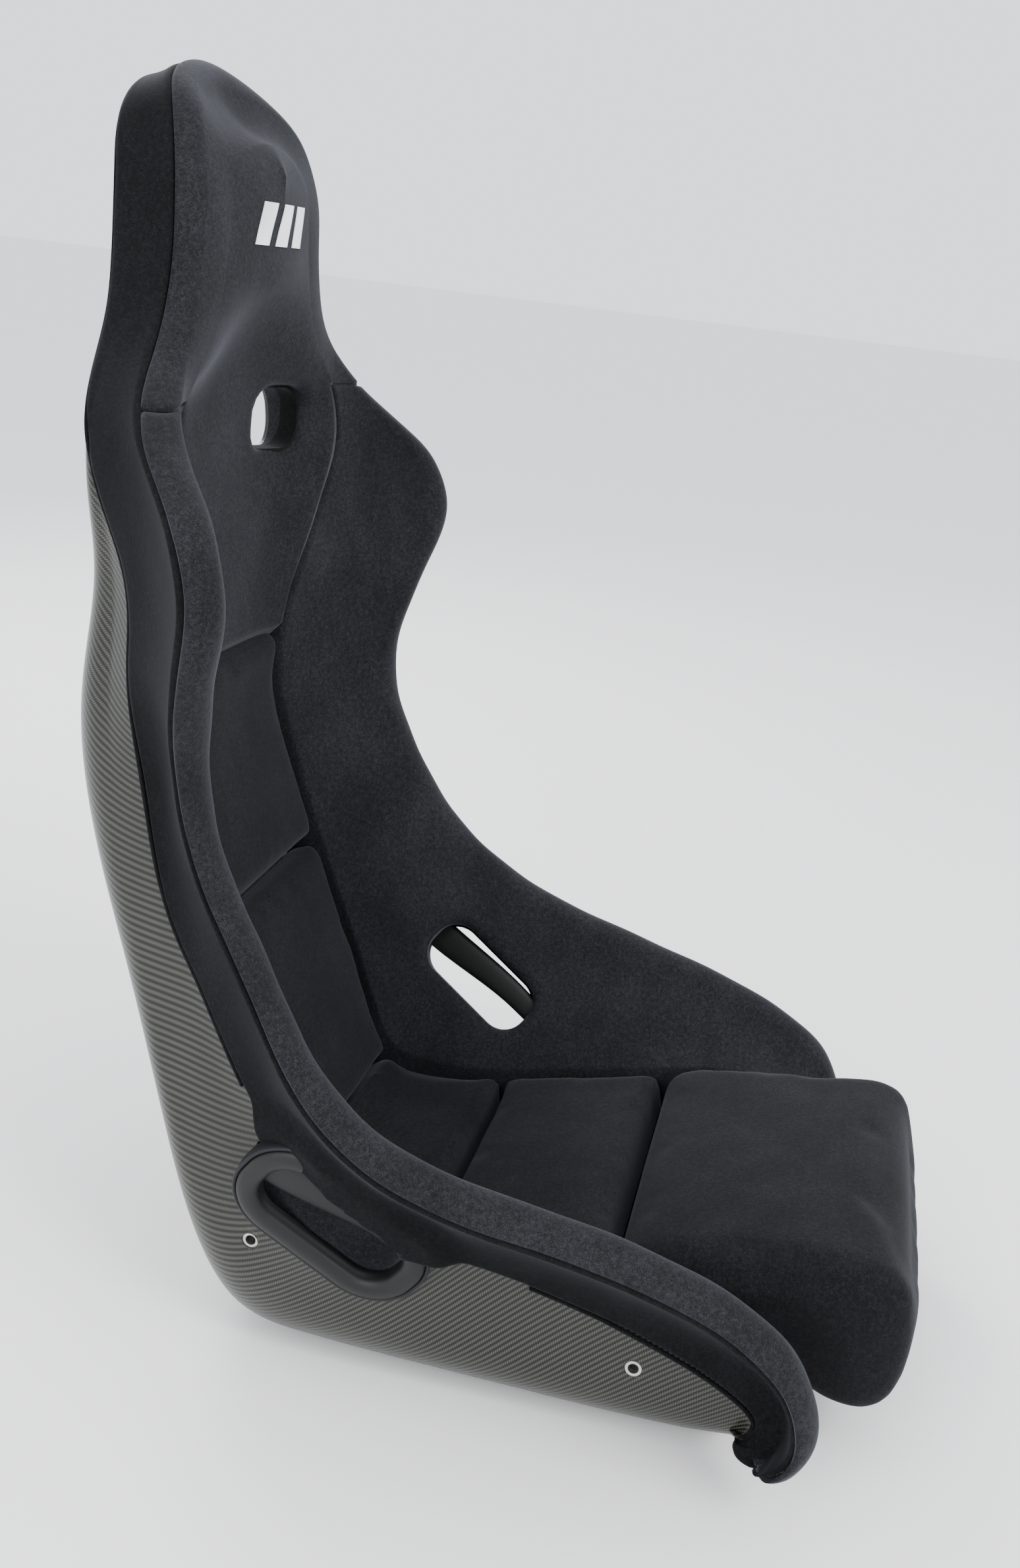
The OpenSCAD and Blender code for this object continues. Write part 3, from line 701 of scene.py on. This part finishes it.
def make_bolster(mirror):
    rows = np.concatenate([eased(0, 2, 36, 0.5), np.linspace(2, NECK, 210)[1:]])
    u = np.concatenate([eased(0, 0.4, 20, 0.3), eased(0.4, 1, 34, 0.3)[1:]])
    front = np.array([pad_face(s, u) for s in rows])
    back = np.array([pad_back(s, u) for s in rows])
    inside = np.array([[0.0, 0, 400]]) - front * np.array([1, 0, 1])
    core = np.array([[roll_mid(s)] for s in rows])
    out = normals_of(front, front - core)
    out[:, u > 0.55] = normals_of(front, inside)[:, u > 0.55]
    sink = round_over(edge_gap(front, 1, True, True), 4.0) * ramp(0, 1.4, rows)[:, None]
    sink = sink + round_over(edge_gap(front, 0, False, True), 3.0)
    lap = local_of(lap_place(), front)
    rise = LAP_SHEAR * lap[..., 2]
    near = slot_gap(lap[..., 0], lap[..., 1] - rise, LAP_SLOT)
    sink = sink + np.where(lap[..., 2] > -90, round_over(np.maximum(near + 1, 0), 9.0), 0)
    front = front - out * sink[..., None] + out * wander(front, 0.5, 34.0)[..., None]
    front, back = with_nose(front, 0), with_nose(back, -4)
    obj = grid_solid("bolster_cover_" + ("right" if mirror else "left"), front, back, mirror=mirror)
    tunnel = lap_place() @ Matrix(((1, 0, 0, 0), (0, 1, LAP_SHEAR, 0), (0, 0, 1, 0), (0, 0, 0, 1)))
    cutters = [slot_prism(LAP_SLOT, 0, -110, 4, tunnel, mirror),
               slot_prism(LAP_SLOT, LAP_FRAME_W + 4, -9.6, 60, lap_place(), mirror)]
    cut(obj, cutters)
    finish_piece(obj, "velour", "bolster_right" if mirror else "bolster_left")


BAND_LAP = 4.0  # how far outside the opening the band stops


def make_band(mirror):
    rows = np.concatenate([eased(0, 2, 30, 0.5), np.linspace(2, TOP - 0.02, 300)[1:]])
    k = eased(0, 1, 26, 0.6)

    def layer(by):
        return np.array([shell_offset(s, lerp(rail("edge", s)[0], 2, k), by) for s in rows])

    low = layer(CLEAR)
    front = layer(CLEAR + BAND_T)
    out = unit(front - low)
    lap = local_of(lap_place(), front)
    near = slot_gap(lap[..., 0], lap[..., 1], LAP_SLOT)
    clear = 6.8  # the band's underside stays this far above the guide's plane
    over = np.clip(clear - np.minimum(lap[..., 2] - BAND_T, clear), 0, 12) * ramp(44, 24, near)
    over = over * ramp(-60, -30, lap[..., 2])
    low, front = low + out * over[..., None], front + out * over[..., None]
    sink = round_over(edge_gap(front, 1, False, True), 3.5) * ramp(0, 1.4, rows)[:, None]
    sink = sink + round_over(edge_gap(front, 1, True, False), 3.2)
    sink = sink + round_over(edge_gap(front, 0, False, True), 1.2)
    front = (front - out * np.minimum(sink, BAND_T - 0.4)[..., None]
             + out * wander(front, 0.25, 30.0)[..., None])
    front, low = with_nose(front, 3), with_nose(low, 0.5)
    obj = grid_solid("band_cover_" + ("right" if mirror else "left"), front, low, mirror=mirror)
    cut(obj, [slot_prism(LAP_SLOT, BAND_LAP, -40, 60, lap_place(), mirror)])
    finish_piece(obj, "band_velour", "outer_band_right" if mirror else "outer_band_left")


def make_head_panel():
    """Upper part reaches from rim to rim; below the neck only the middle goes on."""
    rows = np.concatenate([np.linspace(PANEL + 0.02, NECK, 66), np.linspace(NECK, TOP, 110)[1:]])
    split = 65  # the row at the neck
    side = np.concatenate([eased(0, 0.4, 16, 0.3), eased(0.4, 1, 20, 0.3)[1:]])
    half_u = np.concatenate([side, eased(1, 2, 34, 0.2)[1:]])
    u = np.concatenate([half_u, half_u[-2::-1]])
    x_sign = np.ones(len(u))
    x_sign[len(half_u):] = -1
    sign = x_sign[:, None] * np.array([1, 0, 0]) + np.array([0, 1, 1])
    front = np.array([pad_face(s, u) * sign for s in rows])
    back = np.array([pad_back(s, u) * sign for s in rows])
    mask = np.ones((len(rows) - 1, len(u) - 1), bool)
    n = len(side) - 1
    mask[:split, :n] = False
    mask[:split, -n:] = False
    out = normals_of(front, np.array([0.0, -1, 0.15]))
    core = np.array([[roll_mid(s)] for s in rows]) * sign
    rolled = (u < 0.42)
    out[:, rolled] = normals_of(front, front - core)[:, rolled]
    sink = round_over(edge_gap(front, 1, True, True), 3.5)
    inner = edge_gap(front[:, n:-n], 1, True, True)
    low = np.zeros(sink.shape)
    low[:, n:-n] = round_over(inner, 3.0)
    sink[:split] = low[:split]
    sink = sink + round_over(edge_gap(front, 0, True, False), 3.0)
    neck = edge_gap(front[split:], 0, True, False)
    fade = np.zeros(sink.shape)
    fade[split:, :n] = round_over(neck[:, :n], 3.0)
    fade[split:, -n:] = round_over(neck[:, -n:], 3.0)
    sink = sink + fade
    for s in (1, -1):
        q = local_of(shoulder_place(s), front)
        near = slot_gap(q[..., 0], q[..., 1], SHOULDER_SLOT)
        sink = sink + round_over(np.maximum(near + 1.0, 0), 11.0)
    front = front - out * sink[..., None] + out * wander(front, 0.5, 36.0)[..., None]
    obj = grid_solid("head_cover", front, back, mask=mask, fold=True)
    cut(obj, [slot_prism(SHOULDER_SLOT, 0.5, -70, 90, shoulder_place(s)) for s in (1, -1)])
    finish_piece(obj, "velour", "head_panel")
    return obj


for flipped in (False, True):
    make_bolster(flipped)
    make_band(flipped)
head = make_head_panel()


# ---- cushions ----
VOXEL = 0.005  # metres
PRESSURE = 4.0
MOVE_CAP = 0.004  # metres
CLOTH_FRAMES = 20
CUSHION_GAP = 2.5
SEAT_THICK, BACK_THICK, CROWN = 42, 30, 3


def inflate(obj):
    """Swells a closed mesh like a stuffed cover, no point moving further than MOVE_CAP."""
    m = obj.modifiers.new("remesh", "REMESH")
    m.mode, m.voxel_size = "VOXEL", VOXEL
    bake(obj)
    rest = np.array([v.co for v in obj.data.vertices])
    cloth = obj.modifiers.new("cloth", "CLOTH")
    cloth.settings.use_pressure = True
    cloth.settings.uniform_pressure_force = PRESSURE
    cloth.settings.effector_weights.gravity = 0
    cloth.settings.quality = 5
    cloth.point_cache.frame_start, cloth.point_cache.frame_end = 1, CLOTH_FRAMES
    scene = bpy.context.scene
    for f in range(1, CLOTH_FRAMES + 1):
        scene.frame_set(f)
    bake(obj)
    scene.frame_set(1)
    now = np.array([v.co for v in obj.data.vertices])
    move = now - rest
    size = np.linalg.norm(move, axis=1, keepdims=True)
    now = rest + move * np.minimum(1, MOVE_CAP / np.maximum(size, 1e-9))
    obj.data.vertices.foreach_set("co", now.ravel())
    calm = obj.modifiers.new("calm", "SMOOTH")
    calm.factor, calm.iterations = 0.5, 8
    bake(obj)
    sub = obj.modifiers.new("sub", "SUBSURF")
    sub.levels = sub.render_levels = 1
    bake(obj)
    obj.data.polygons.foreach_set("use_smooth", [True] * len(obj.data.polygons))


def cushion_grid(start, end, thick):
    """Front and back of a cushion that lies between the feet of the bolsters."""
    c = eased(-1, 1, 40, 0.5)
    s = eased(start + 0.02, end - 0.02, 26, 0.5)

    def layer(height):
        rows = []
        for t in s:
            f = rail("foot", t)
            p = np.stack([c * (f[0] - CUSHION_GAP), np.full(c.shape, f[1]), np.full(c.shape, f[2])], axis=1)
            rows.append(p + pad_normal(t)[None, :] * height[:, None])
        return np.array(rows)

    front, back = layer(CROWN * (1 - c**2)), layer(np.full(c.shape, -thick))
    out = unit(front - back)
    gap = np.minimum(edge_gap(front, 0, True, True), edge_gap(front, 1, True, True))
    front = front - out * round_over(gap, 6.0)[..., None]
    return front, back


def make_cushion(name, start, end, thick, node):
    front, back = cushion_grid(start, end, thick)
    obj = grid_solid(name, front, back)
    inflate(obj)
    finish_piece(obj, "cushion_velour", node)


make_cushion("cushion_back_upper", LUMBAR, PANEL, BACK_THICK, "back_cushion_upper")
make_cushion("cushion_back_lower", JOINT, LUMBAR, BACK_THICK, "back_cushion_lower")
make_cushion("cushion_seat_rear", SEAM_A, JOINT, SEAT_THICK, "seat_cushion_rear")
make_cushion("cushion_seat_front", SEAM_B, SEAM_A, SEAT_THICK, "seat_cushion_front")


def make_thigh_cushion():
    """A side outline, rounded by cutting its corners, carried across the seat."""
    half = 160
    side = [[-257, 70], [-257, 120], [-266, 132], [-330, 149], [-400, 159], [-444, 163],
            [-464, 159], [-475, 146], [-480, 112], [-479, 76], [-473, 55], [-457, 44], [-436, 43],
            [-410, 50], [-386, 66]]
    p = np.array(side, float)
    for _ in range(3):
        q = np.roll(p, -1, axis=0)
        p = np.stack([0.75 * p + 0.25 * q, 0.25 * p + 0.75 * q], axis=1).reshape(-1, 2)
    centre = p.mean(axis=0)
    x = eased(-half, half, 64, 0.5)
    ends = round_over(half - np.abs(x), 15.0)
    rings = []
    for xi, e in zip(x, ends):
        d = p - centre
        r = np.linalg.norm(d, axis=1, keepdims=True)
        crown = 2.0 * (1 - (xi / half) ** 2)
        q = centre + d / r * (r - e * 0.9 - 2.0 + crown)
        rings.append(np.column_stack([np.full(len(q), xi), q]))
    n = len(p)
    verts = np.vstack(rings)
    faces = []
    for i in range(len(x) - 1):
        for j in range(n):
            faces.append([i * n + j, i * n + (j + 1) % n, (i + 1) * n + (j + 1) % n, (i + 1) * n + j])
    faces.append(list(range(n)))
    faces.append(list(range((len(x) - 1) * n + n - 1, (len(x) - 1) * n - 1, -1)))
    obj = mesh_object("cushion_thigh", verts, faces)
    faces_outward(obj)
    inflate(obj)
    finish_piece(obj, "cushion_velour", "thigh_cushion")


make_thigh_cushion()


# ---- belt guides ----
def ring_piece(name, size, profile, mirror):
    """A closed ring: a profile of (outward offset, height) swept round a slot."""
    rings = [[(x, y, z) for x, y in stadium(size, g, 18)] for g, z in profile]
    place = lap_place()
    n, m = len(rings[0]), len(rings)
    verts = np.array([tuple(place @ Vector(p)) for ring in rings for p in ring])
    faces = [[a * n + k, a * n + (k + 1) % n, ((a + 1) % m) * n + (k + 1) % n, ((a + 1) % m) * n + k]
             for a in range(m) for k in range(n)]
    obj = mesh_object(name, verts, faces, mirror)
    faces_outward(obj)
    return obj


RING_PROFILE = [(LAP_FRAME_W * a, z) for a, z in (
    (1, -8.5), (1, 0.5), (0.98, 2), (0.92, 3.3), (0.8, 4.4), (0.63, 5.1), (0.45, 5.2), (0.29, 4.8),
    (0.16, 3.8), (0.07, 2.4), (0.02, 0.8), (0, -1.5), (0, -8.5))]
GASKET_PROFILE = [(LAP_FRAME_W + a, z) for a, z in (
    (3, -9), (3, 0.8), (2.6, 1.6), (1.6, 2.0), (0.6, 1.6), (0.2, 0.8), (0.2, -9))]


def make_bridge(mirror):
    """The bar across a guide, narrower and deeper towards its front end."""
    place = lap_place()
    rows, ring = 40, 24
    verts, faces = [], []
    for i in range(rows + 1):
        t = i / rows
        x = lerp(-71, 71, t)
        w = lerp(15, 10.5, ramp(0, 1, t))
        z = lerp(-3.5, -12, ramp(0.05, 0.95, t)) - 4
        for k in range(ring):
            a = 2 * math.pi * k / ring
            c, s = math.cos(a), math.sin(a)
            px = w * math.copysign(abs(c) ** 0.6, c)
            pz = 4.4 * math.copysign(abs(s) ** 0.75, s)
            verts.append(tuple(place @ Vector((x, px + lerp(-4, -15, ramp(0, 0.8, t)), z + pz))))
    for i in range(rows):
        for k in range(ring):
            a, b = i * ring, (k + 1) % ring
            faces.append([a + k, a + b, a + ring + b, a + ring + k])
    faces.append(list(range(ring - 1, -1, -1)))
    faces.append([rows * ring + k for k in range(ring)])
    obj = mesh_object("bridge_bar_" + ("right" if mirror else "left"), np.array(verts), faces, mirror)
    faces_outward(obj)
    finish_piece(obj, "bridge_trim", "lap_bridge_right" if mirror else "lap_bridge_left")


for flipped in (False, True):
    tag = "right" if flipped else "left"
    finish_piece(ring_piece("guide_ring_" + tag, LAP_SLOT, RING_PROFILE, flipped),
                 "moulded_trim", "lap_frame_" + tag)
    finish_piece(ring_piece("guide_gasket_" + tag, LAP_SLOT, GASKET_PROFILE, flipped),
                 "gasket_rubber", "lap_gasket_" + tag)
    make_bridge(flipped)


# ---- piping along the outer bands ----
def tube(name, path, r, mirror):
    """A closed round cord along a path."""
    sides = 10
    path = np.array(path)
    t = unit(np.gradient(path, axis=0))
    side = unit(np.cross(t, np.array([0.3, 0.1, 1.0])))
    up = np.cross(side, t)
    verts, faces = [], []
    for k in range(sides):
        a = 2 * math.pi * k / sides
        verts.append(path + r * (side * math.cos(a) + up * math.sin(a)))
    v = np.stack(verts, axis=1).reshape(-1, 3)
    n = len(path)
    for i in range(n - 1):
        for k in range(sides):
            j = (k + 1) % sides
            faces.append([i * sides + k, i * sides + j, (i + 1) * sides + j, (i + 1) * sides + k])
    faces.append(list(range(sides - 1, -1, -1)))
    faces.append([(n - 1) * sides + k for k in range(sides)])
    return mesh_object(name, v, faces, mirror)


def make_welt(mirror):
    tag = "right" if mirror else "left"
    parts = []
    for a, b in ((0.6, 5.4), (9.5, TOP - 0.15)):  # the guide interrupts it
        s = np.linspace(a, b, int((b - a) * 14))
        path = [shell_offset(t, [rail("edge", t)[0] - 0.03], 1.7)[0] for t in s]
        parts.append(tube("piping_%s" % tag, path, 1.6, mirror))
    for extra in parts[1:]:
        bm = bmesh.new()
        bm.from_mesh(parts[0].data)
        bm.from_mesh(extra.data)
        bm.to_mesh(parts[0].data)
        bm.free()
        bpy.data.objects.remove(extra)
    finish_piece(parts[0], "welt_cord", "band_welt_" + tag)


for flipped in (False, True):
    make_welt(flipped)


# ---- plain emblem of slanted bars on the head ----
def make_emblem():
    bvh = BVHTree.FromObject(head, bpy.context.evaluated_depsgraph_get())
    verts, faces = [], []
    for bar in range(3):
        x0 = -0.045 + 0.034 * bar
        n = 8
        start = len(verts)
        for i in range(n + 1):
            for j in range(n + 1):
                x = x0 + 0.022 * i / n + 0.012 * (j / n)
                z = 0.797 + 0.03 * j / n
                hit = bvh.ray_cast(Vector((x, -0.3, z)), Vector((0, 1, 0)))
                verts.append(hit[0] + hit[1] * 0.0004)
        for i in range(n):
            for j in range(n):
                a = start + i * (n + 1) + j
                faces.append((a, a + n + 1, a + n + 2, a + 1))
    mesh = bpy.data.meshes.new("emblem_bars")
    mesh.from_pydata([tuple(v) for v in verts], [], faces)
    obj = bpy.data.objects.new("emblem_bars", mesh)
    bpy.context.scene.collection.objects.link(obj)
    solid = obj.modifiers.new("thick", "SOLIDIFY")
    solid.thickness = 0.0006
    solid.offset = 1
    bake(obj)
    obj.data.materials.append(satin("emblem_print", (0.78, 0.78, 0.80), 0.6, 1200))
    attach(obj, "root")


make_emblem()


# ---- studio ----
def make_studio():
    floor_mesh = bpy.data.meshes.new("studio_floor")
    half = 40.0
    corners = [(-half, -half, 0), (half, -half, 0), (half, half, 0), (-half, half, 0)]
    floor_mesh.from_pydata(corners, [], [(0, 1, 2, 3)])
    floor = bpy.data.objects.new("studio_floor", floor_mesh)
    bpy.context.scene.collection.objects.link(floor)
    m, nodes, links, bsdf = new_material("studio_floor")
    bsdf.inputs["Base Color"].default_value = (0.86, 0.86, 0.86, 1)
    bsdf.inputs["Roughness"].default_value = 0.8
    floor_mesh.materials.append(m)
    world = bpy.data.worlds.new("studio")
    world.use_nodes = True
    world.node_tree.nodes["Background"].inputs["Color"].default_value = (0.93, 0.95, 1.0, 1)
    world.node_tree.nodes["Background"].inputs["Strength"].default_value = 1.8
    bpy.context.scene.world = world

    def area(name, place, target, size, power):
        data = bpy.data.lights.new(name, "AREA")
        data.shape, data.size, data.size_y = "RECTANGLE", size, size
        data.energy = power
        obj = bpy.data.objects.new(name, data)
        obj.location = place
        obj.rotation_euler = (Vector(target) - Vector(place)).to_track_quat("-Z", "Y").to_euler()
        bpy.context.scene.collection.objects.link(obj)

    area("key", (-1.6, -2.2, 2.6), (0, 0, 0.4), 1.6, 110)
    area("side", (-2.6, 0.9, 1.4), (0, 0.1, 0.4), 1.4, 60)
    area("rim", (1.8, 1.6, 2.2), (0, 0, 0.5), 1.4, 60)


make_studio()
